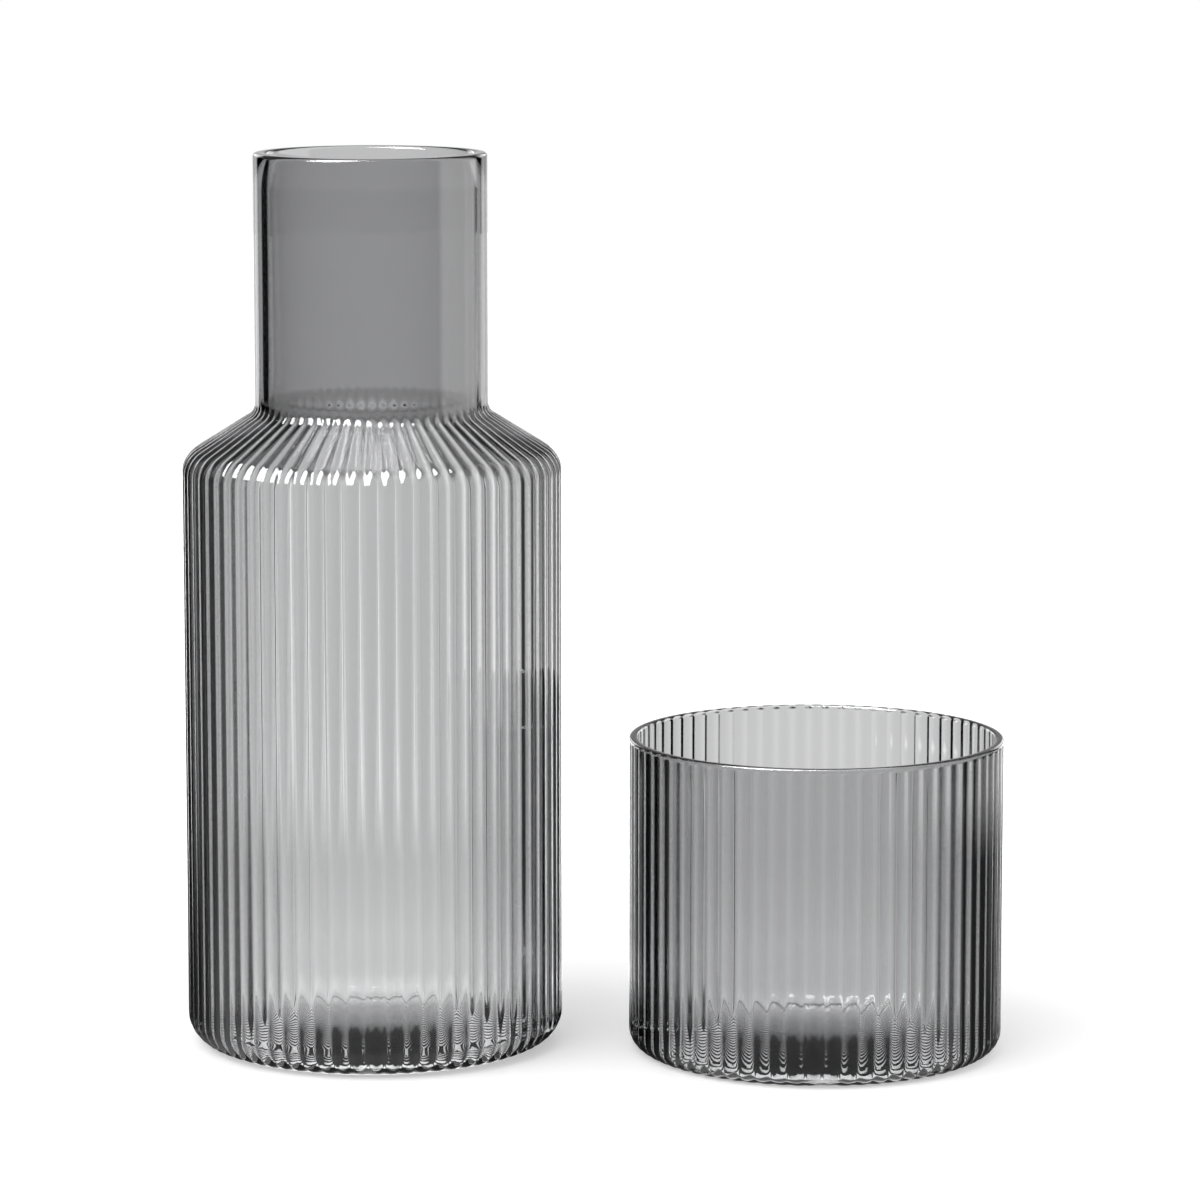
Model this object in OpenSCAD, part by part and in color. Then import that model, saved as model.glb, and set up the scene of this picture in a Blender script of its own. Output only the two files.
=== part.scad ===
// Bedside carafe with a tumbler: two separate vessels of blown glass, ribbed on the outside and smooth
// inside. The carafe stands on its base at the origin, and the tumbler stands beside it, to the right
// and a little nearer the viewer. Millimetres, +Z up.

/* [Carafe] */
// Height of the carafe, from the table to its rim
carafe_h = 213.2; // [195:0.2:240]
// Diameter of the carafe over the ribs of its body
carafe_d = 90; // [84:1:100]
// Outside diameter of the smooth neck
neck_d = 55.2; // [46:0.2:60]
// Height of the neck, from the foot of the shoulder to the rim
neck_h = 60.8; // [45:0.2:80]
// Wall of the neck
neck_wall = 3.2; // [2:0.1:4.5]
// Wall of the carafe's body and shoulder, measured over a rib
body_wall = 1.8; // [1.6:0.1:4]
// Thickness of the carafe's base at its edge
carafe_base = 1.6; // [1.4:0.2:6]
// How far the carafe's inside floor rises from its edge to its middle
carafe_floor_rise = 3.5; // [0:0.5:6]
// Fall of the shoulder below level, in degrees
shoulder_slope = 32; // [26:1:42]
// Outside radius of the bend from the shoulder down into the body
bend_r = 7; // [5:0.5:11]
// Radius of the hollow where the shoulder runs up into the neck
neck_foot_r = 3.4; // [2:0.2:5]
// Radius of the heel round the carafe's base
carafe_heel_r = 7.5; // [4:0.5:9]

/* [Tumbler] */
// Height of the tumbler
tumbler_h = 75.4; // [60:0.2:95]
// Diameter of the tumbler over its ribs
tumbler_d = 89; // [80:1:98]
// Wall of the tumbler, measured over a rib
tumbler_wall = 2.2; // [1.6:0.1:4]
// Thickness of the tumbler's base at its edge
tumbler_base = 1.6; // [1.4:0.2:6]
// How far the tumbler's inside floor rises from its edge to its middle
tumbler_floor_rise = 3.5; // [0:0.5:6]
// Radius of the heel round the tumbler's base
tumbler_heel_r = 5; // [3:0.5:8]
// Height of the smooth band between the ribs and the tumbler's rim
rim_band_h = 1; // [0.9:0.1:4]
// Step from the tops of the ribs in to the smooth band
rim_band_step = 0.1; // [0.05:0.05:0.4]
// Length over which the grooves run out under the smooth band
rib_end_l = 1; // [0.5:0.25:4]

/* [Ribs] */
// Ribs round each vessel
rib_count = 68; // [48:1:80]
// Depth of the grooves between two ribs of the body
rib_depth = 0.5; // [0.3:0.05:1]

/* [Set] */
// Clear space between the carafe and the tumbler, from left to right
set_gap = 16; // [4:1:60]
// How far the tumbler stands nearer the viewer than the carafe
tumbler_forward = 9; // [0:1:30]

/* [Hidden] */
smoke_grey = [0.45, 0.45, 0.46, 0.6];
turned_fn = 96;
arc_steps = 4;
lip_steps = 5;
// How far each cut runs past the face that it opens
cut_over = 2;

// Depth of a groove's points across one rib, from its valley over its crest, as shares of the depth
rib_sag_shares = [1, 0.25, 0, 0.25];
ring_points = rib_count * len(rib_sag_shares);
// How firmly the grooves hold their depth round a heel: a higher power closes them nearer the flat
heel_hold_power = 6;
// What is left of a groove's depth halfway along the length over which it runs out
running_out_share = 0.75;
// A lip's rounding, as a share of its wall
lip_share = 0.35;
// An inside corner's radius in a base, as a share of the heel outside it
floor_corner_share = 0.8;
// How much of the hollow at the neck's foot the ribbed skin takes before the round neck takes over
foot_turn_share = 0.75;

// Radii and heights of the carafe
carafe_r = carafe_d / 2;
neck_r = neck_d / 2;
neck_bore_r = neck_r - neck_wall;
carafe_bore_r = carafe_r - body_wall;
// Height at which the shoulder's line meets the neck's, and the body's
shoulder_top_z = carafe_h - neck_h;
shoulder_low_z = shoulder_top_z - (carafe_r - neck_r) * tan(shoulder_slope);
// Direction of the shoulder's outward normal
shoulder_normal = 90 - shoulder_slope;

// Height of an arc's centre above the corner that it rounds, between an upright line and the shoulder's
// line. The arc lies off by arc_r from the shoulder and by side from the corner, and the shoulder is
// itself set back by wall.
function corner_rise(arc_r, wall, side) = (arc_r - wall - side * sin(shoulder_slope)) / cos(shoulder_slope);

bend_centre_r = carafe_r - bend_r;
bend_centre_z = shoulder_low_z + corner_rise(-bend_r, 0, -bend_r);
foot_centre_r = neck_r + neck_foot_r;
foot_centre_z = shoulder_top_z + corner_rise(neck_foot_r, 0, neck_foot_r);
foot_bore_arc_r = neck_foot_r + neck_wall;
foot_bore_z = shoulder_top_z + corner_rise(foot_bore_arc_r, body_wall, foot_bore_arc_r - neck_wall);

// Radii and place of the tumbler
tumbler_r = tumbler_d / 2;
tumbler_bore_r = tumbler_r - tumbler_wall;
rim_band_r = tumbler_r - rim_band_step;
rim_band_z = tumbler_h - rim_band_h;
// The band's round solid has a narrower root that starts as much lower again, inside the ribbed wall
rim_band_root_z = rim_band_z - rim_band_h;
rim_band_root_r = rim_band_r - rib_depth;
tumbler_x = carafe_r + set_gap + tumbler_r;

// Points of an arc in an outline, as [radius, height]. A negative arc_r gives the hollow side.
function arc_points(centre_r, centre_z, arc_r, from, to, steps) = [
    for (i = [0:steps])
        let (a = from + (to - from) * i / steps)
        [centre_r + arc_r * cos(a), centre_z + arc_r * sin(a)]
];

// A station is one level of the ribbed skin: [radius over the ribs, height, direction of the outward
// normal, share of the rib depth]. These are the stations along an arc.
function arc_stations(centre_r, centre_z, arc_r, from, to, from_share, to_share) = [
    for (i = [0:arc_steps])
        let (t = i / arc_steps, a = from + (to - from) * t)
        [centre_r + arc_r * cos(a), centre_z + arc_r * sin(a), a, from_share + (to_share - from_share) * t]
];

// The heel: from the flat base, where the ribs have run out, round into the upright wall. The grooves
// keep nearly their whole depth round it, and close just above the flat.
function heel_stations(wall_r, heel_r) = [
    for (i = [0:arc_steps])
        let (t = i / arc_steps, a = 90 * (t - 1))
        [wall_r - heel_r + heel_r * cos(a), heel_r + heel_r * sin(a), a, 1 - pow(1 - t, heel_hold_power)]
];

// The grooves get shallower up the shoulder, as the ribs draw together, and run out in the hollow at the
// neck's foot
neck_end_share = neck_r / carafe_r;

carafe_stations = concat(
    heel_stations(carafe_r, carafe_heel_r),
    arc_stations(bend_centre_r, bend_centre_z, bend_r, 0, shoulder_normal, 1, 1),
    arc_stations(
        foot_centre_r, foot_centre_z, -neck_foot_r, shoulder_normal,
        shoulder_normal * (1 - foot_turn_share), neck_end_share, 0
    )
);

tumbler_stations = concat(
    heel_stations(tumbler_r, tumbler_heel_r),
    [
        [tumbler_r, rim_band_z - rib_end_l, 0, 1],
        [tumbler_r, rim_band_z - rib_end_l / 2, 0, running_out_share],
        [tumbler_r, rim_band_z, 0, 0]
    ]
);

function station_point(station, i) =
    let (
        turn = 360 * i / ring_points,
        sag = rib_depth * station[3] * rib_sag_shares[i % len(rib_sag_shares)],
        r = station[0] - sag * cos(station[2])
    )
    [r * cos(turn), r * sin(turn), station[1] - sag * sin(station[2])];

// A closed solid with the ribbed skin through all its stations, flat at its bottom and top
module ribbed_solid(stations) {
    last = len(stations) - 1;
    points = [for (s = stations) for (i = [0:ring_points - 1]) station_point(s, i)];
    skin = [
        for (k = [0:last - 1]) for (i = [0:ring_points - 1])
            let (
                j = (i + 1) % ring_points,
                a = k * ring_points + i,
                b = k * ring_points + j,
                c = b + ring_points,
                d = a + ring_points
            )
            each [[a, c, b], [a, d, c]]
    ];
    bottom = [for (i = [0:ring_points - 1]) i];
    top = [for (i = [ring_points - 1:-1:0]) last * ring_points + i];
    polyhedron(points, concat([bottom, top], skin), convexity = 8);
}

// A round solid turned from an outline that starts and ends on the axis
module turned(outline) {
    rotate_extrude($fn = turned_fn) polygon(outline);
}

// Outline of a plain round end, from its outside at low_z up to a lip at top_z that is rounded by lip_r
function lip_outline(outer_r, low_z, top_z, lip_r) = concat(
    [[outer_r, low_z]],
    arc_points(outer_r - lip_r, top_z - lip_r, lip_r, 0, 90, lip_steps),
    [[0, top_z]]
);

// The part of a cavity's outline that opens a lip, with the lip's inside edge rounded by lip_r
function mouth_outline(bore_r, top_z, lip_r) = concat(
    arc_points(bore_r + lip_r, top_z - lip_r, lip_r, 180, 90, lip_steps),
    [[bore_r + lip_r, top_z + cut_over], [0, top_z + cut_over]]
);

// The lower part of a cavity's outline: the floor, a low cone, and its round corner
function floor_outline(bore_r, floor_z, rise, corner_r) = concat(
    [[0, floor_z + rise]],
    arc_points(bore_r - corner_r, floor_z + corner_r, corner_r, -90, 0, arc_steps)
);

neck_lip_r = neck_wall * lip_share;
neck_solid = concat([[0, shoulder_top_z]], lip_outline(neck_r, shoulder_top_z, carafe_h, neck_lip_r));
carafe_cavity = concat(
    floor_outline(carafe_bore_r, carafe_base, carafe_floor_rise, carafe_heel_r * floor_corner_share),
    arc_points(bend_centre_r, bend_centre_z, bend_r - body_wall, 0, shoulder_normal, arc_steps),
    arc_points(neck_bore_r + foot_bore_arc_r, foot_bore_z, -foot_bore_arc_r, shoulder_normal, 0, arc_steps),
    mouth_outline(neck_bore_r, carafe_h, neck_lip_r)
);

rim_wall = rim_band_r - tumbler_bore_r;
tumbler_lip_r = rim_wall * lip_share;
rim_band_solid = concat(
    [[0, rim_band_root_z], [rim_band_root_r, rim_band_root_z], [rim_band_root_r, rim_band_z]],
    lip_outline(rim_band_r, rim_band_z, tumbler_h, tumbler_lip_r)
);
tumbler_cavity = concat(
    floor_outline(tumbler_bore_r, tumbler_base, tumbler_floor_rise, tumbler_heel_r * floor_corner_share),
    mouth_outline(tumbler_bore_r, tumbler_h, tumbler_lip_r)
);

// The carafe: ribbed body and shoulder, with a smooth neck
module carafe() {
    color(smoke_grey)
        difference() {
            union() {
                ribbed_solid(carafe_stations);
                turned(neck_solid);
            }
            turned(carafe_cavity);
        }
}

// The tumbler: ribbed from its heel to a smooth band under the rim
module tumbler() {
    color(smoke_grey)
        translate([tumbler_x, -tumbler_forward, 0])
            difference() {
                union() {
                    ribbed_solid(tumbler_stations);
                    turned(rim_band_solid);
                }
                turned(tumbler_cavity);
            }
}

carafe();
tumbler();
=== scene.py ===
"""Bedside carafe with its tumbler: two vessels of smoke-grey glass, ribbed outside and smooth inside.

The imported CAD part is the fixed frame. Each vessel is turned from one closed outline, its grooves are
pressed in along the wall's normals, and the wall gets the slight unevenness of blown glass.
"""

import functools
import logging
import math
from dataclasses import dataclass
from enum import Enum
from typing import Any, Iterable, Sequence

import bpy
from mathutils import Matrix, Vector


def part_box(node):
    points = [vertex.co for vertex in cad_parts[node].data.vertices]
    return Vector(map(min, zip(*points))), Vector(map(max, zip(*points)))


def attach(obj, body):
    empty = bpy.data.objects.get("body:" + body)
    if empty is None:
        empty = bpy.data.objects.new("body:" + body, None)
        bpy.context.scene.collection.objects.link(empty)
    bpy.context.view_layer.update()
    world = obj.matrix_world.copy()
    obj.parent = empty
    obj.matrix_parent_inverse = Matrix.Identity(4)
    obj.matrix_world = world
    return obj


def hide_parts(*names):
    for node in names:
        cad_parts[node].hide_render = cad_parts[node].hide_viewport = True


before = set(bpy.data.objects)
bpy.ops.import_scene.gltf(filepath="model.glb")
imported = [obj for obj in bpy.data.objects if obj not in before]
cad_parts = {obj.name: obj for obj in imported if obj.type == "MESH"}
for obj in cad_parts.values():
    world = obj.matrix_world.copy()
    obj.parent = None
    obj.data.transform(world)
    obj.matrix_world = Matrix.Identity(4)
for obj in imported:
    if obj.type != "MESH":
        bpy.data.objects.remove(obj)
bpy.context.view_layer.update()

LOG = logging.getLogger("carafe_set")
MM = 0.001
# Least level length of a vector that is divided by it
LEAST_LENGTH = 0.0001


class Surface(Enum):
    """The part of a vessel's outline that a point belongs to."""

    OUTSIDE = "outside"
    LIP = "lip"
    INSIDE = "inside"


class Value:
    """A number in a node tree. Arithmetic on it adds the Math nodes."""

    def __init__(self, nodes: "NodeMaker", socket: Any) -> None:
        """Keep the maker that adds the nodes, and the socket that holds the number."""
        self.nodes = nodes
        self.socket = socket

    def math(self, operation: str, *others: Any, clamp: bool = False) -> "Value":
        """Add one Math node.

        Args:
            operation: the Math node's operation.
            others: the operands after this one, as values or plain numbers.
            clamp: whether the result is held from 0 to 1.

        Returns:
            The node's result.
        """
        operands = (self, *others)
        node = self.nodes.add(
            "ShaderNodeMath", {"operation": operation, "use_clamp": clamp}, dict(enumerate(operands))
        )
        return Value(self.nodes, node.outputs[0])

    def __add__(self, other: Any) -> "Value":
        """Sum."""
        return self.math("ADD", other)

    __radd__ = __add__

    def __mul__(self, other: Any) -> "Value":
        """Product."""
        return self.math("MULTIPLY", other)

    __rmul__ = __mul__

    def __sub__(self, other: Any) -> "Value":
        """Difference."""
        return self.math("SUBTRACT", other)

    def __rsub__(self, other: float) -> "Value":
        """A plain number less this value."""
        return self.math("MULTIPLY_ADD", -1.0, other)

    def __truediv__(self, other: Any) -> "Value":
        """Quotient."""
        return self.math("DIVIDE", other)

    def smooth(self, low: float, high: float, to_low: float = 0.0, to_high: float = 1.0) -> "Value":
        """Ease from to_low to to_high while this value goes from low to high."""
        node = self.nodes.add(
            "ShaderNodeMapRange",
            {"interpolation_type": "SMOOTHSTEP"},
            {"Value": self, "From Min": low, "From Max": high, "To Min": to_low, "To Max": to_high},
        )
        return Value(self.nodes, node.outputs[0])


class NodeMaker:
    """Adds nodes to one node tree."""

    def __init__(self, tree: bpy.types.NodeTree) -> None:
        """Take over a tree and empty it."""
        self.tree = tree
        tree.nodes.clear()

    def add(
        self, kind: str, settings: dict[str, Any] | None = None, inputs: dict[Any, Any] | None = None
    ) -> Any:
        """Add a node of any type.

        Args:
            kind: the node's type.
            settings: its settings, which are set first.
            inputs: what its sockets hold or are linked to, by name or number.

        Returns:
            The new node.
        """
        node = self.tree.nodes.new(kind)
        for name, value in (settings or {}).items():
            setattr(node, name, value)
        for name, value in (inputs or {}).items():
            source = value.socket if isinstance(value, Value) else value
            if isinstance(source, bpy.types.NodeSocket):
                self.tree.links.new(source, node.inputs[name])
            else:
                node.inputs[name].default_value = source
        return node

    def value(self, node: Any, output: Any = 0) -> Value:
        """One output of a node, as a number to calculate with."""
        return Value(self, node.outputs[output])

    def part(self, vector: Any, axis: int) -> Value:
        """One part of a vector: 0 for x, 1 for y and 2 for z."""
        return self.value(self.add("ShaderNodeSeparateXYZ", None, {0: vector}), axis)

    def along(self, vector: Any, direction: Vector) -> Value:
        """How far a vector reaches in a direction."""
        inputs = {0: vector, 1: tuple(direction)}
        product = self.add("ShaderNodeVectorMath", {"operation": "DOT_PRODUCT"}, inputs)
        return self.value(product, "Value")

    def mapped(self, vector: Any, **inputs: tuple[float, float, float]) -> Any:
        """A vector that a Mapping node moves or scales, by the names of its inputs."""
        node = self.add("ShaderNodeMapping", {"vector_type": "POINT"}, {"Vector": vector, **inputs})
        return node.outputs[0]

    def noise(self, place: Any, scale: float, detail: float) -> Value:
        """Cloudy noise from 0 to 1."""
        inputs = {"Vector": place, "Scale": scale, "Detail": detail}
        return self.value(self.add("ShaderNodeTexNoise", None, inputs))

    def emission(self, color: Value) -> Any:
        """A shader that glows as brightly as a value says, in grey."""
        return self.add("ShaderNodeEmission", None, {"Color": color, "Strength": 1.0}).outputs[0]

    def mix_shaders(self, share: Any, first: Any, second: Any) -> Any:
        """Mix two shader outputs by share and return the mixed output."""
        return self.add("ShaderNodeMixShader", None, {0: share, 1: first, 2: second}).outputs[0]


def greatest(values: Iterable[Value]) -> Value:
    """The greatest of several values at each point."""
    return functools.reduce(lambda highest, value: highest.math("MAXIMUM", value), values)


@dataclass(frozen=True)
class SmokedGlass:
    """Clear glass that is grey right through its thickness, so that a thick wall is darker.

    absorption_per_m says how fast light fades in it, and body_tint leaves a little more of the blue. The
    faint streaks and the ripple run up the walls, and the haze is where the glass has been handled.
    """

    name: str
    absorption_per_m: float = 178.0
    body_tint: tuple[float, float, float] = (0.34, 0.34, 0.35)
    clear_tint: tuple[float, float, float] = (0.985, 0.987, 0.988)
    streak_tint: tuple[float, float, float] = (0.955, 0.957, 0.958)
    ior: float = 1.5
    streak_scale: float = 60.0
    streak_detail: float = 3.0
    streak_stretch: float = 0.12
    polish: float = 0.0
    haze: float = 0.006
    haze_scale: float = 45.0
    haze_detail: float = 4.0
    haze_range: tuple[float, float] = (0.5, 0.8)
    ripple_scale: float = 140.0
    ripple_detail: float = 2.0
    ripple_height: float = 0.01 * MM

    def material(self) -> bpy.types.Material:
        """Build the glass.

        Returns:
            The new material.
        """
        material = bpy.data.materials.new(self.name)
        material.use_nodes = True
        nodes = NodeMaker(material.node_tree)
        place = nodes.add("ShaderNodeTexCoord").outputs["Object"]
        drawn = nodes.mapped(place, Scale=(1.0, 1.0, self.streak_stretch))
        streaks = nodes.noise(drawn, self.streak_scale, self.streak_detail)
        tint = nodes.add(
            "ShaderNodeMix",
            {"data_type": "RGBA"},
            {"Factor": streaks, "A": (*self.clear_tint, 1.0), "B": (*self.streak_tint, 1.0)},
        ).outputs["Result"]
        handled = nodes.noise(place, self.haze_scale, self.haze_detail)
        roughness = handled.smooth(*self.haze_range, self.polish, self.haze)
        ripple = nodes.noise(drawn, self.ripple_scale, self.ripple_detail)
        bump = nodes.add(
            "ShaderNodeBump", None, {"Height": ripple, "Strength": 1.0, "Distance": self.ripple_height}
        ).outputs[0]
        glass = nodes.add(
            "ShaderNodeBsdfPrincipled",
            None,
            {
                "Base Color": tint,
                "Roughness": roughness,
                "IOR": self.ior,
                "Transmission Weight": 1.0,
                "Normal": bump,
            },
        ).outputs[0]
        density = self.absorption_per_m / (1.0 - self.body_tint[0])
        smoke = nodes.add(
            "ShaderNodeVolumeAbsorption", None, {"Color": (*self.body_tint, 1.0), "Density": density}
        ).outputs[0]
        nodes.add("ShaderNodeOutputMaterial", None, {"Surface": glass, "Volume": smoke})
        return material


@dataclass(frozen=True)
class OutlinePoint:
    """A corner of a vessel's outline: radius, height and how much of the groove depth it takes."""

    radius: float
    height: float
    groove: float
    surface: Surface


@dataclass(frozen=True)
class Ribs:
    """The upright ribs round a vessel. They are crowned, with rounded valleys between them.

    A rib is turned in as many steps as it has points, its valley takes a share of half its width, and
    runout is the length over which the grooves end under the tumbler's rim.
    """

    count: int = 68
    depth: float = 0.5 * MM
    points: int = 12
    valley: float = 0.3
    runout: float = 0.6 * MM

    def sag(self, turn: float) -> float:
        """How deep the surface lies at an angle.

        Args:
            turn: the angle round the vessel, in radians.

        Returns:
            A share of the depth: 0 on a rib's crown and 1 in a valley.
        """
        across = (turn * self.count / math.tau) % 1.0
        off_crown = abs(2.0 * across - 1.0)
        flank = 1.0 - self.valley
        into_valley = max(0.0, off_crown - flank)
        if into_valley == 0.0:
            return off_crown**2 / flank
        return flank + 2.0 * into_valley - into_valley**2 / self.valley


def arc(
    centre: tuple[float, float], radius: float, start: float, end: float, steps: int
) -> list[tuple[float, float]]:
    """Points of an arc in an outline.

    Args:
        centre: the arc's centre, as radius and height.
        radius: the arc's radius, negative for its hollow side.
        start: the first point's direction, in degrees above outward.
        end: the last point's direction.
        steps: the number of chords.

    Returns:
        The points, as radius and height.
    """
    angles = [math.radians(start + (end - start) * i / steps) for i in range(steps + 1)]
    return [(centre[0] + radius * math.cos(a), centre[1] + radius * math.sin(a)) for a in angles]


def straight(
    start: tuple[float, float], end: tuple[float, float], pitch: float
) -> list[tuple[float, float]]:
    """Points between two ends, which are left out, no further apart than pitch.

    Args:
        start: the first end, as radius and height.
        end: the last end.
        pitch: the greatest distance between two points.

    Returns:
        The points, as radius and height.
    """
    length = math.dist(start, end)
    steps = max(1, math.ceil(length / pitch))
    return [
        (start[0] + (end[0] - start[0]) * i / steps, start[1] + (end[1] - start[1]) * i / steps)
        for i in range(1, steps)
    ]


@dataclass
class Vessel:
    """A round glass vessel: what the carafe and the tumbler have in common.

    It stands on a ring. The grooves take the shares in heel_ends over the heel's first points, and fade
    from the ring's inner edge to the middle of the base. The faces of the walls waver into the glass by
    up to blown_height.
    """

    node: str
    body: str
    slot: str
    glass: SmokedGlass
    height: float
    radius: float
    wall: float
    heel: float
    ribs: Ribs = Ribs()
    base: float = 1.6 * MM
    floor_rise: float = 3.5 * MM
    ring_width: float = 1.2 * MM
    lip_share: float = 0.28
    corner_share: float = 0.55
    heel_ends: tuple[float, ...] = (0.0, 0.2, 0.5, 0.8)
    base_fade: float = 3.0
    base_pitch: float = 5.0 * MM
    wall_pitch: float = 8.0 * MM
    arc_steps: int = 8
    lip_steps: int = 4
    merge_gap: float = 0.001 * MM
    blown_height: float = 0.03 * MM
    blown_scale: float = 16.0 * MM
    blown_detail: int = 1

    @property
    def centre(self) -> tuple[float, float]:
        """The axis, in the middle of the CAD node."""
        low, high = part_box(self.node)
        return ((low.x + high.x) / 2, (low.y + high.y) / 2)

    @property
    def rim(self) -> tuple[float, float]:
        """Outer radius and wall of the glass under the lip."""
        raise NotImplementedError

    @property
    def lip_rounding(self) -> float:
        """Radius of the lip's two edges."""
        return self.rim[1] * self.lip_share

    def outside(self) -> list[tuple[float, float, float]]:
        """The outer face from the heel up to the lip, as radius, height and share of the grooves."""
        raise NotImplementedError

    def inside(self) -> list[tuple[float, float]]:
        """The inner face, from the lip down to the round corner of the floor."""
        raise NotImplementedError

    def lip(self) -> list[tuple[float, float]]:
        """The fire-polished lip, from its outer to its inner side."""
        outer, wall = self.rim
        rounding = self.lip_rounding
        level = self.height - rounding
        return [
            *arc((outer - rounding, level), rounding, 0.0, 90.0, self.lip_steps),
            *arc((outer - wall + rounding, level), rounding, 90.0, 180.0, self.lip_steps),
        ]

    def underside(self) -> list[tuple[float, float, float]]:
        """The base inside the ring, from near its middle out. The grooves fade towards the middle."""
        inner = self.radius - self.heel - self.ring_width
        points = [*straight((0.0, 0.0), (inner, 0.0), self.base_pitch), (inner, 0.0)]
        return [(r, z, (r / inner) ** self.base_fade) for r, z in points]

    def heel_points(self) -> list[tuple[float, float, float]]:
        """The heel, round which the grooves get shallower towards the ring that the vessel stands on."""
        points = arc((self.radius - self.heel, self.heel), self.heel, -90.0, 0.0, self.arc_steps)
        shares = [*self.heel_ends, *[1.0] * len(points)]
        return [(r, z, share) for (r, z), share in zip(points, shares)]

    def floor_corner(self) -> list[tuple[float, float]]:
        """The round inside corner, from the wall down to the floor."""
        corner = self.heel * self.corner_share
        inner = self.radius - self.wall
        return arc((inner - corner, self.base + corner), corner, 0.0, -90.0, self.arc_steps)

    def outline(self) -> list[OutlinePoint]:
        """The whole outline, from the middle of the base out, up, over the lip and down to the floor.

        Returns:
            The points in order.
        """
        points = [OutlinePoint(0.0, 0.0, 0.0, Surface.OUTSIDE)]
        skin = [*self.underside(), *self.outside()]
        points += [OutlinePoint(r, z, share, Surface.OUTSIDE) for r, z, share in skin]
        points += [OutlinePoint(r, z, 0.0, Surface.LIP) for r, z in self.lip()]
        points += [OutlinePoint(r, z, 0.0, Surface.INSIDE) for r, z in self.inside()]
        middle = (0.0, self.base + self.floor_rise)
        floor = [*straight((points[-1].radius, points[-1].height), middle, self.wall_pitch), middle]
        points += [OutlinePoint(r, z, 0.0, Surface.INSIDE) for r, z in floor]
        return points

    def draw_outline(self, points: Sequence[OutlinePoint]) -> bpy.types.Object:
        """Draw the outline as a chain of edges, which starts as one corner of a small plane.

        Args:
            points: the outline.

        Returns:
            The object, with a vertex group for the grooves and one for the unevenness.
        """
        bpy.ops.object.select_all(action="DESELECT")
        bpy.ops.mesh.primitive_plane_add(size=self.wall, location=(0.0, 0.0, 0.0))
        drawn = bpy.context.object
        bpy.ops.object.mode_set(mode="EDIT")
        bpy.ops.mesh.merge(type="CENTER")
        bpy.ops.transform.translate(value=(points[0].radius, 0.0, points[0].height))
        for last, point in zip(points, points[1:]):
            step = (point.radius - last.radius, 0.0, point.height - last.height)
            bpy.ops.mesh.extrude_vertices_move(TRANSFORM_OT_translate={"value": step})
        bpy.ops.object.mode_set(mode="OBJECT")
        grooves = drawn.vertex_groups.new(name="grooves")
        blown = drawn.vertex_groups.new(name="blown")
        for index, point in enumerate(points):
            grooves.add([index], point.groove, "REPLACE")
            uneven = point.surface is not Surface.LIP and point.radius > 0.0 and point.height > 0.0
            blown.add([index], 1.0 if uneven else 0.0, "REPLACE")
        return drawn

    def turn(self, drawn: bpy.types.Object) -> None:
        """Turn the outline round its axis into a closed skin.

        Args:
            drawn: the object that holds the outline.
        """
        steps = self.ribs.count * self.ribs.points
        settings = {"axis": "Z", "steps": steps, "render_steps": steps, "use_merge_vertices": True}
        self.apply(drawn, "SCREW", settings)
        bpy.ops.object.mode_set(mode="EDIT")
        bpy.ops.mesh.select_all(action="SELECT")
        bpy.ops.mesh.remove_doubles(threshold=self.merge_gap)
        bpy.ops.mesh.normals_make_consistent(inside=False)
        bpy.ops.object.mode_set(mode="OBJECT")

    def stand(self, skin: bpy.types.Object) -> None:
        """Move the skin from the axis that it was turned on to the vessel's place.

        Args:
            skin: the grooved skin.
        """
        bpy.ops.object.mode_set(mode="EDIT")
        bpy.ops.mesh.select_all(action="SELECT")
        bpy.ops.transform.translate(value=(*self.centre, 0.0))
        bpy.ops.object.mode_set(mode="OBJECT")

    def press_grooves(self, skin: bpy.types.Object) -> None:
        """Press the grooves in along the normals, as deep as the angle and the outline say.

        Args:
            skin: the turned skin.
        """
        grooves = skin.vertex_groups["grooves"]
        for vertex in skin.data.vertices:
            share = grooves.weight(vertex.index)
            if share > 0.0:
                turn = math.atan2(vertex.co.y, vertex.co.x)
                grooves.add([vertex.index], share * self.ribs.sag(turn), "REPLACE")
        settings = {
            "vertex_group": grooves.name,
            "direction": "NORMAL",
            "mid_level": 0.0,
            "strength": -self.ribs.depth,
        }
        self.apply(skin, "DISPLACE", settings)

    def blow(self, skin: bpy.types.Object) -> None:
        """Give the walls the slow unevenness of blown glass, into the glass so that the size stays.

        Args:
            skin: the grooved skin.
        """
        swell = bpy.data.textures.new(f"{self.node}_swell", "CLOUDS")
        swell.noise_scale = self.blown_scale
        swell.noise_depth = self.blown_detail
        settings = {
            "vertex_group": "blown",
            "texture": swell,
            "texture_coords": "LOCAL",
            "direction": "NORMAL",
            "mid_level": 1.0,
            "strength": self.blown_height,
        }
        self.apply(skin, "DISPLACE", settings)

    @staticmethod
    def apply(obj: bpy.types.Object, kind: str, settings: dict[str, Any]) -> None:
        """Add a modifier to an object and apply it.

        Args:
            obj: the object.
            kind: the modifier's type.
            settings: its settings.
        """
        modifier = obj.modifiers.new(kind.lower(), kind)
        for name, value in settings.items():
            setattr(modifier, name, value)
        bpy.ops.object.select_all(action="DESELECT")
        bpy.context.view_layer.objects.active = obj
        obj.select_set(True)
        bpy.ops.object.modifier_apply(modifier=modifier.name)

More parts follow.
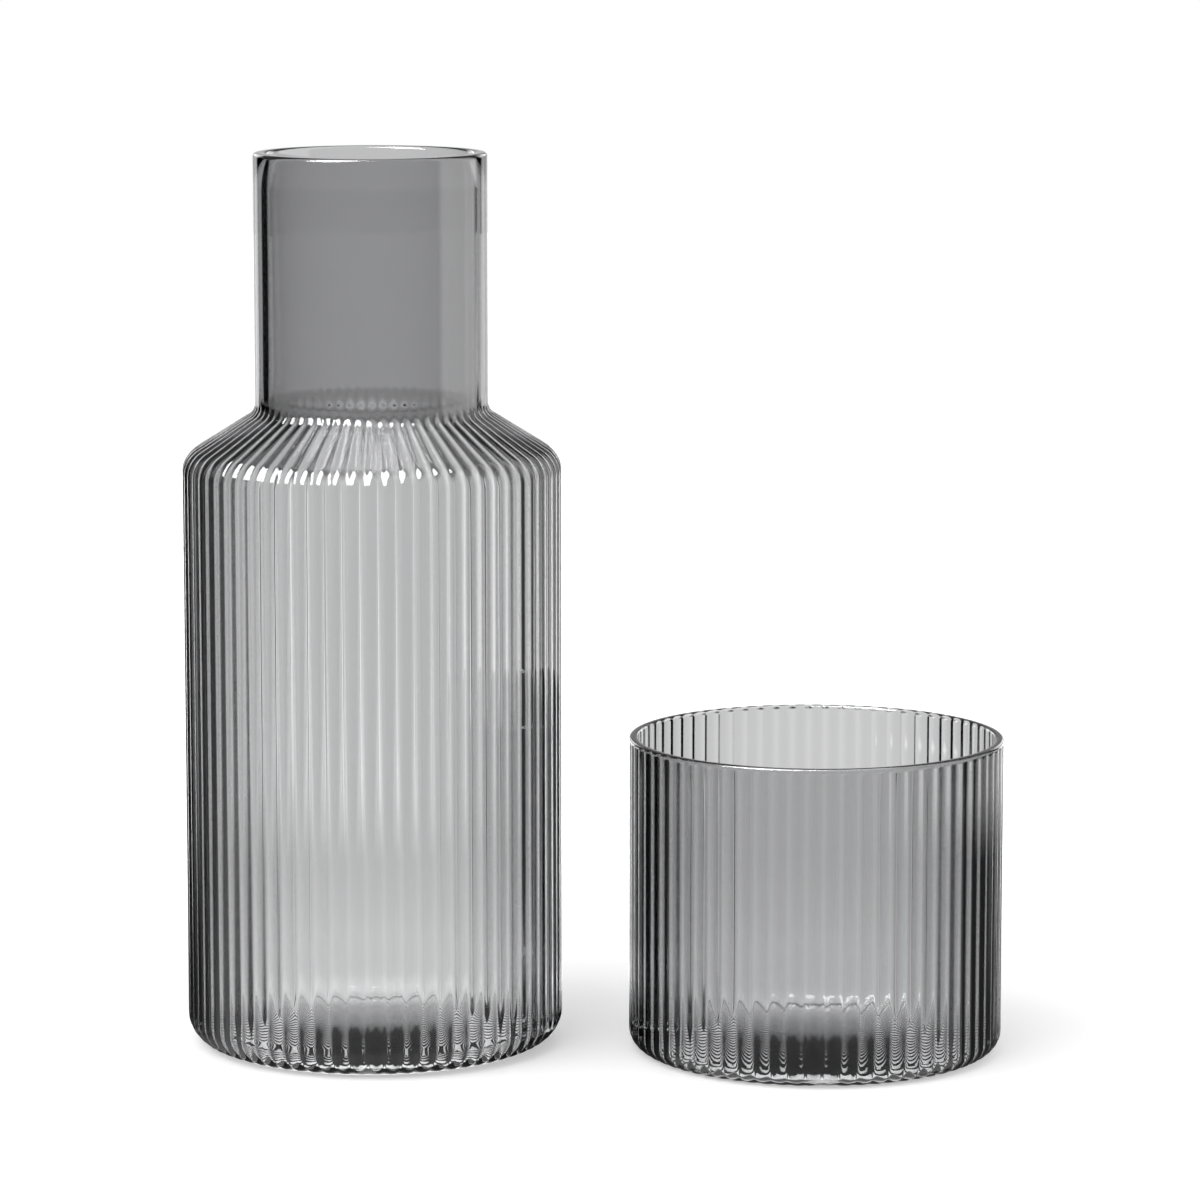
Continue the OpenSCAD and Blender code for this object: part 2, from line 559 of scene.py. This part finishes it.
    def build(self) -> bpy.types.Object:
        """Model the vessel, dress it and set it in the frame.

        Returns:
            The finished piece.
        """
        piece = self.draw_outline(self.outline())
        piece.name = f"{self.node}_glass"
        self.turn(piece)
        self.press_grooves(piece)
        self.stand(piece)
        self.blow(piece)
        bpy.ops.object.shade_smooth()
        piece.vertex_groups.clear()
        piece.data.materials.append(self.glass.material())
        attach(piece, self.body)
        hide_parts(self.node)
        LOG.info("%s: %d faces", piece.name, len(piece.data.polygons))
        return piece


@dataclass
class Carafe(Vessel):
    """The carafe: an upright ribbed body, a ribbed shoulder and a smooth neck."""

    node: str = "carafe"
    body: str = "carafe"
    slot: str = "carafe_glass"
    glass: SmokedGlass = SmokedGlass("carafe smoke glass")
    height: float = 213.2 * MM
    radius: float = 45.0 * MM
    wall: float = 1.8 * MM
    heel: float = 7.5 * MM
    neck_radius: float = 27.6 * MM
    neck_height: float = 60.8 * MM
    neck_wall: float = 3.2 * MM
    slope: float = 32.0
    bend: float = 7.0 * MM
    foot: float = 3.4 * MM
    foot_hold: float = 1.6

    @property
    def rim(self) -> tuple[float, float]:
        """Outer radius and wall of the neck."""
        return self.neck_radius, self.neck_wall

    @property
    def lean(self) -> float:
        """Direction of the shoulder's normal, in degrees above outward."""
        return 90.0 - self.slope

    @property
    def bore(self) -> float:
        """Inside radius of the neck."""
        return self.neck_radius - self.neck_wall

    def corner_rise(self, radius: float, wall: float, side: float) -> float:
        """Height of an arc's centre over the corner it rounds, between the shoulder and an upright wall.

        Args:
            radius: the arc's distance from the shoulder's line.
            wall: how far the shoulder is set back.
            side: the centre's distance out from the corner.

        Returns:
            The height, in metres.
        """
        slope = math.radians(self.slope)
        return (radius - wall - side * math.sin(slope)) / math.cos(slope)

    @property
    def shoulder_top(self) -> float:
        """Height at which the shoulder's line meets the neck's."""
        return self.height - self.neck_height

    @property
    def bend_centre(self) -> tuple[float, float]:
        """Centre of the bend from the shoulder into the body."""
        drop = (self.radius - self.neck_radius) * math.tan(math.radians(self.slope))
        rise = self.corner_rise(-self.bend, 0.0, -self.bend)
        return (self.radius - self.bend, self.shoulder_top - drop + rise)

    @property
    def foot_centre(self) -> tuple[float, float]:
        """Centre of the hollow at the neck's foot."""
        rise = self.corner_rise(self.foot, 0.0, self.foot)
        return (self.neck_radius + self.foot, self.shoulder_top + rise)

    @property
    def inner_foot(self) -> tuple[tuple[float, float], float]:
        """Centre and radius of the neck's foot on the inner face."""
        radius = self.foot + self.neck_wall
        rise = self.corner_rise(radius, self.wall, self.foot)
        return ((self.bore + radius, self.shoulder_top + rise), radius)

    def outside(self) -> list[tuple[float, float, float]]:
        """Heel, body, bend, shoulder and neck."""
        heel = self.heel_points()
        bend = arc(self.bend_centre, self.bend, 0.0, self.lean, self.arc_steps)
        foot = arc(self.foot_centre, -self.foot, self.lean, 0.0, self.arc_steps)
        body = straight(heel[-1][:2], bend[0], self.wall_pitch)
        shoulder = straight(bend[-1], foot[0], self.wall_pitch)
        neck = straight(foot[-1], (self.neck_radius, self.height - self.lip_rounding), self.wall_pitch)
        narrowing = self.neck_radius / self.radius
        drawing_in = (1.0 - narrowing) / math.dist(bend[-1], foot[0])
        fading = [narrowing * (1.0 - (i / self.arc_steps) ** self.foot_hold) for i in range(len(foot))]
        return [
            *heel,
            *[(r, z, 1.0) for r, z in [*body, *bend]],
            *[(r, z, 1.0 - drawing_in * math.dist(bend[-1], (r, z))) for r, z in shoulder],
            *[(r, z, share) for (r, z), share in zip(foot, fading)],
            *[(r, z, 0.0) for r, z in neck],
        ]

    def inside(self) -> list[tuple[float, float]]:
        """Neck, shoulder, body and floor corner, from the top down."""
        centre, radius = self.inner_foot
        foot = arc(centre, -radius, 0.0, self.lean, self.arc_steps)
        bend = arc(self.bend_centre, self.bend - self.wall, self.lean, 0.0, self.arc_steps)
        corner = self.floor_corner()
        return [
            *straight((self.bore, self.height - self.lip_rounding), foot[0], self.wall_pitch),
            *foot,
            *straight(foot[-1], bend[0], self.wall_pitch),
            *bend,
            *straight(bend[-1], corner[0], self.wall_pitch),
            *corner,
        ]


@dataclass
class Tumbler(Vessel):
    """The tumbler: ribs from the heel to a smooth band under the rim."""

    node: str = "tumbler"
    body: str = "tumbler"
    slot: str = "tumbler_glass"
    glass: SmokedGlass = SmokedGlass("tumbler smoke glass", absorption_per_m=212.0)
    height: float = 75.4 * MM
    radius: float = 44.5 * MM
    wall: float = 2.2 * MM
    heel: float = 5.0 * MM
    band: float = 0.8 * MM

    @property
    def rim(self) -> tuple[float, float]:
        """Outer radius and wall of the smooth band."""
        return self.radius, self.wall

    def outside(self) -> list[tuple[float, float, float]]:
        """Heel, ribbed wall and the ends of the grooves under the smooth band."""
        heel = self.heel_points()
        ribs_top = self.height - self.band
        runout = self.ribs.runout
        wall = straight(heel[-1][:2], (self.radius, ribs_top - runout), self.wall_pitch)
        ended = [i / self.arc_steps for i in range(self.arc_steps + 1)]
        return [
            *heel,
            *[(r, z, 1.0) for r, z in wall],
            *[(self.radius, ribs_top - runout * (1.0 - t), math.sqrt(1.0 - t * t)) for t in ended],
        ]

    def inside(self) -> list[tuple[float, float]]:
        """Wall and floor corner, from the top down."""
        corner = self.floor_corner()
        top = (self.radius - self.wall, self.height - self.lip_rounding)
        return [*straight(top, corner[0], self.wall_pitch), *corner]


@dataclass(frozen=True)
class Sector:
    """A bright part of what stands round the set.

    Its centre and its half width are degrees round the upright, from +X, and so is the half width of its
    soft edges.
    """

    centre: float
    half: float
    soft: float = 5.0
    level: float = 1.0

    def light(self, x: Value, y: Value) -> Value:
        """Brightness of the sector in a level direction.

        Args:
            x: the direction's share along +X.
            y: the direction's share along +Y.

        Returns:
            The sector's level inside it, falling to 0 outside.
        """
        angle = math.radians(self.centre)
        along = x * math.cos(angle) + y * math.sin(angle)
        dark = math.cos(math.radians(self.half + self.soft))
        lit = math.cos(math.radians(max(0.0, self.half - self.soft)))
        return along.smooth(dark, lit, 0.0, self.level)


@dataclass(frozen=True)
class Softbox:
    """The big soft lamp over the viewer's left shoulder.

    Glass mirrors it as a panel of its radiance, and shows little of it when looked through. A direction
    whose share towards the lamp is under least_out never meets it.
    """

    azimuth: float = 222.0
    elevation: float = 54.0
    half_width: float = 18.0
    half_height: float = 27.0
    edge: float = 0.03
    least_out: float = 0.1
    radiance: float = 22.0
    seen_through: float = 0.08
    lamp_strength: float = 1.4
    lamp_angle: float = 50.0

    def axes(self) -> tuple[Vector, Vector, Vector]:
        """Directions from the set to the lamp, along the lamp's width and up it."""
        turn, rise = math.radians(self.azimuth), math.radians(self.elevation)
        out = Vector((math.cos(rise) * math.cos(turn), math.cos(rise) * math.sin(turn), math.sin(rise)))
        side = Vector((-math.sin(turn), math.cos(turn), 0.0))
        return out, side, out.cross(side)

    def light(self, nodes: NodeMaker, direction: Any) -> Value:
        """What a mirror would show of the lamp.

        Args:
            nodes: the tree's maker.
            direction: a vector socket.

        Returns:
            The lamp's radiance in that direction, 0 beside it.
        """
        out, side, up = (nodes.along(direction, axis) for axis in self.axes())
        front = out.math("MAXIMUM", self.least_out)
        wide = math.tan(math.radians(self.half_width))
        high = math.tan(math.radians(self.half_height))
        across = (side / front).math("ABSOLUTE").smooth(wide - self.edge, wide + self.edge, 1.0, 0.0)
        upward = (up / front).math("ABSOLUTE").smooth(high - self.edge, high + self.edge, 1.0, 0.0)
        return across * upward * out.math("GREATER_THAN", self.least_out) * self.radiance

    def hang(self) -> None:
        """Add the lamp that lights the table and throws the soft shadows."""
        lamp = bpy.data.lights.new("softbox", "SUN")
        lamp.energy = self.lamp_strength
        lamp.angle = math.radians(self.lamp_angle)
        holder = bpy.data.objects.new("softbox", lamp)
        bpy.context.scene.collection.objects.link(holder)
        holder.rotation_euler = (-self.axes()[0]).to_track_quat("-Z", "Y").to_euler()
        holder.visible_glossy = False
        holder.visible_transmission = False


@dataclass
class Studio:
    """The white table, the light round it and the camera.

    Glass sees a dark room with sectors of light in it, so that its thick edges stay dark. On the table
    each vessel has its own set of them as painted light, which only glass shows, and their starts and
    ends are distances from its stand. Their point lies nearer the viewer than the stand, by apex, but
    the stand itself is the point of those that glass only mirrors. In the sky the lows, tops and ends
    are heights of a direction, 1 for straight up.
    """

    # Light behind the set, and a low patch of painted light on the table that is brightest just behind its
    # vessel
    back: Sector = Sector(90.0, 26.0)
    back_start: tuple[float, float] = (0.38, 0.48)
    low_backs: tuple[Sector, ...] = (Sector(93.0, 28.0), Sector(86.0, 34.0))
    apex: float = 45.0 * MM
    behind: float = 36.0 * MM
    behind_level: float = 1.2
    behind_reach: float = 250.0 * MM
    # Weak light on the viewer's side, and a narrow bright sector on each side of the light behind
    front: Sector = Sector(270.0, 106.0, soft=16.0, level=0.22)
    flanks: tuple[Sector, ...] = (
        Sector(120.0, 5.0, soft=3.0, level=1.7),
        Sector(60.0, 5.0, soft=3.0, level=1.7),
    )
    flank_starts: tuple[tuple[float, float], ...] = ((0.06, 0.42), (0.38, 0.48))
    # A panel on the right and two strips behind, which the glass only mirrors; in the sky they are light,
    # on the table painted reflections
    panel: Sector = Sector(12.0, 27.0, level=2.2)
    panel_start: tuple[float, float] = (0.36, 0.5)
    strips: tuple[Sector, ...] = (Sector(66.0, 13.0, level=2.6), Sector(114.0, 13.0, level=2.6))
    strips_end: tuple[float, float] = (1.2, 1.4)
    strips_low: tuple[float, float] = (0.0, 0.12)
    strips_top: tuple[float, float] = (0.25, 0.45)
    # Painted light on the table under each vessel: a bright pool with a dimmer core, ending short of the
    # heel so that the table round it stays dark as painted shade
    near: float = 38.0 * MM
    near_edge: float = 3.0 * MM
    near_level: float = 2.1
    near_core: float = 10.0 * MM
    near_core_level: float = 1.5
    # The sky over the sectors, the darkest level, and the light that falls on the table
    sky_low: float = -0.11
    sky_high: float = 0.02
    sky_end: float = 0.3
    sky_fall: float = 0.3
    sky_level: float = 0.24
    dark_level: float = 0.006
    ambient: float = 0.7
    softbox: Softbox = Softbox()
    # The table, and the places that the vessels stand on
    stands: tuple[tuple[float, float], ...] = ()
    table_radius: float = 2.5
    table_points: int = 128
    table_albedo: float = 0.8
    table_lift: float = 0.4
    # The camera: its focal length and its picture's width in pixels, its place and its fall in degrees
    focal_px: float = 5086.3
    frame_px: float = 1200.0
    sensor_width: float = 36.0
    clip_end: float = 50.0
    pitch: float = 8.59
    camera_place: tuple[float, float, float] = (54.1 * MM, -1198.6 * MM, 287.7 * MM)

    @staticmethod
    def level(nodes: NodeMaker, vector: Any) -> tuple[Value, Value, Value]:
        """Split a vector into a level direction and its length.

        Args:
            nodes: the tree's maker.
            vector: a vector socket.

        Returns:
            The direction's shares along +X and +Y, and the level length.
        """
        x, y = nodes.part(vector, 0), nodes.part(vector, 1)
        length = (x * x + y * y).math("SQRT").math("MAXIMUM", LEAST_LENGTH)
        return x / length, y / length, length

    @staticmethod
    def brightest(sectors: Sequence[Sector], x: Value, y: Value) -> Value:
        """Brightness of several sectors together in a level direction.

        Args:
            sectors: the sectors.
            x: the direction's share along +X.
            y: the direction's share along +Y.

        Returns:
            The greatest of their brightnesses.
        """
        return greatest(sector.light(x, y) for sector in sectors)

    @staticmethod
    def rays(nodes: NodeMaker) -> tuple[Value, Value, Value]:
        """What looks at the light.

        Args:
            nodes: the tree's maker.

        Returns:
            Whether it is the camera, a view through glass and a view mirrored by glass, each 0 or 1.
        """
        path = nodes.add("ShaderNodeLightPath")
        through = nodes.value(path, "Is Transmission Ray")
        mirrored = nodes.value(path, "Is Glossy Ray") * (1.0 - through)
        return nodes.value(path, "Is Camera Ray"), through, mirrored

    def horizon(self, x: Value, y: Value, rise: Value) -> Value:
        """Brightness that glass shows in a direction above the table.

        Args:
            x: the level direction's share along +X.
            y: the level direction's share along +Y.
            rise: the direction's height.

        Returns:
            The brightness.
        """
        total = self.brightest((self.back, *self.flanks, self.front), x, y)
        fading = rise.smooth(self.sky_low, self.sky_high, 1.0, 1.0 - self.sky_fall)
        sky = rise.smooth(self.sky_high, self.sky_end, self.dark_level, self.sky_level)
        return total * fading * rise.smooth(self.sky_high, self.sky_end, 1.0, 0.0) + sky

    def table_painted_light(self, nodes: NodeMaker, place: Any, mirrored: Value) -> Value:
        """Painted light on the table, which only glass shows: its brightness at a place.

        Args:
            nodes: the tree's maker.
            place: a vector socket.
            mirrored: whether the glass mirrors the table, and isn't looked through.

        Returns:
            The brightness.
        """
        parts = []
        for (stand_x, stand_y), low_back in zip(self.stands, self.low_backs):
            x, y, away = self.level(nodes, nodes.mapped(place, Location=(-stand_x, -stand_y, 0.0)))
            # The painted pool of light under the vessel, and the painted shade round its heel where the
            # pool ends
            under = away.smooth(self.near_core, self.near, self.near_core_level, self.near_level)
            parts.append(under * away.smooth(self.near, self.near + self.near_edge, 1.0, 0.0))
            # Painted reflections of the strips and the panel on the table, shown only where glass mirrors
            # it
            strips = self.brightest(self.strips, x, y) * away.smooth(*self.strips_end, 1.0, 0.0)
            parts.append(strips * mirrored)
            parts.append(self.panel.light(x, y) * away.smooth(*self.panel_start) * mirrored)
            # Painted light on the table round the vessel: the low patch behind it, the light behind, the
            # weak front and the flanks
            x, y, _ = self.level(nodes, nodes.mapped(place, Location=(-stand_x, self.apex - stand_y, 0.0)))
            behind = away.smooth(self.behind, self.behind + self.near_edge, 0.0, self.behind_level)
            fading = away.smooth(self.behind, self.behind_reach, 1.0, 1.0 / self.behind_level)
            parts.append(low_back.light(x, y) * behind * fading)
            parts.append(self.back.light(x, y) * away.smooth(*self.back_start))
            parts.append(self.front.light(x, y))
            for flank, start in zip(self.flanks, self.flank_starts):
                parts.append(flank.light(x, y) * away.smooth(*start))
        return greatest(parts) + self.dark_level

    def light_world(self) -> None:
        """Set the sky: soft light on the object, and the horizon that glass shows."""
        world = bpy.data.worlds.new("soft studio")
        world.use_nodes = True
        bpy.context.scene.world = world
        nodes = NodeMaker(world.node_tree)
        camera, through, mirrored = self.rays(nodes)
        direction = nodes.add("ShaderNodeTexCoord").outputs["Generated"]
        x, y, _ = self.level(nodes, direction)
        rise = nodes.part(direction, 2)
        horizon = self.horizon(x, y, rise)
        lamp = self.softbox.light(nodes, direction)
        upright = rise.smooth(*self.strips_low) * rise.smooth(*self.strips_top, 1.0, 0.0)
        strips = self.brightest(self.strips, x, y) * upright
        behind = horizon + lamp * self.softbox.seen_through
        before = greatest((horizon, strips, self.panel.light(x, y))) + lamp
        seen = through * behind + mirrored * before + (1.0 - through - mirrored) * self.ambient
        level = camera + (1.0 - camera) * seen
        background = nodes.add("ShaderNodeBackground", None, {"Color": level, "Strength": 1.0})
        nodes.add("ShaderNodeOutputWorld", None, {"Surface": background.outputs[0]})

    def lay_table(self) -> None:
        """Lay the pale table. It keeps the shadows, and carries painted light that only glass shows."""
        bpy.ops.object.select_all(action="DESELECT")
        bpy.ops.mesh.primitive_circle_add(
            vertices=self.table_points, radius=self.table_radius, fill_type="NGON"
        )
        table = bpy.context.object
        table.name = "table"
        material = bpy.data.materials.new("white table")
        material.use_nodes = True
        nodes = NodeMaker(material.node_tree)
        camera, through, mirrored = self.rays(nodes)
        place = nodes.add("ShaderNodeTexCoord").outputs["Object"]
        shade = (self.table_albedo, self.table_albedo, self.table_albedo, 1.0)
        matt = nodes.add("ShaderNodeBsdfDiffuse", None, {"Color": shade}).outputs[0]
        plain = nodes.emission(camera * self.table_lift)
        paper = nodes.add("ShaderNodeAddShader", None, {0: matt, 1: plain}).outputs[0]
        glow = nodes.emission(self.table_painted_light(nodes, place, mirrored))
        glass = (through + mirrored) * (1.0 - camera)
        nodes.add("ShaderNodeOutputMaterial", None, {"Surface": nodes.mix_shaders(glass, paper, glow)})
        table.data.materials.append(material)

    def set_camera(self) -> None:
        """Place the camera as the photograph was taken."""
        data = bpy.data.cameras.new("camera")
        data.sensor_width = self.sensor_width
        data.lens = data.sensor_width * self.focal_px / self.frame_px
        data.clip_end = self.clip_end
        camera = bpy.data.objects.new("camera", data)
        bpy.context.scene.collection.objects.link(camera)
        camera.location = self.camera_place
        camera.rotation_euler = (math.radians(90.0 - self.pitch), 0.0, 0.0)
        bpy.context.scene.camera = camera

    def build(self) -> None:
        """Set up the whole studio."""
        bpy.context.scene.view_settings.view_transform = "Standard"
        self.light_world()
        self.softbox.hang()
        self.lay_table()
        self.set_camera()


def main() -> None:
    """Build the studio and both vessels, and report each piece."""
    logging.basicConfig(level=logging.INFO, format="%(name)s: %(message)s")
    vessels = (Carafe(), Tumbler())
    Studio(stands=tuple(vessel.centre for vessel in vessels)).build()
    for vessel in vessels:
        vessel.build()


if __name__ == "__main__":
    main()
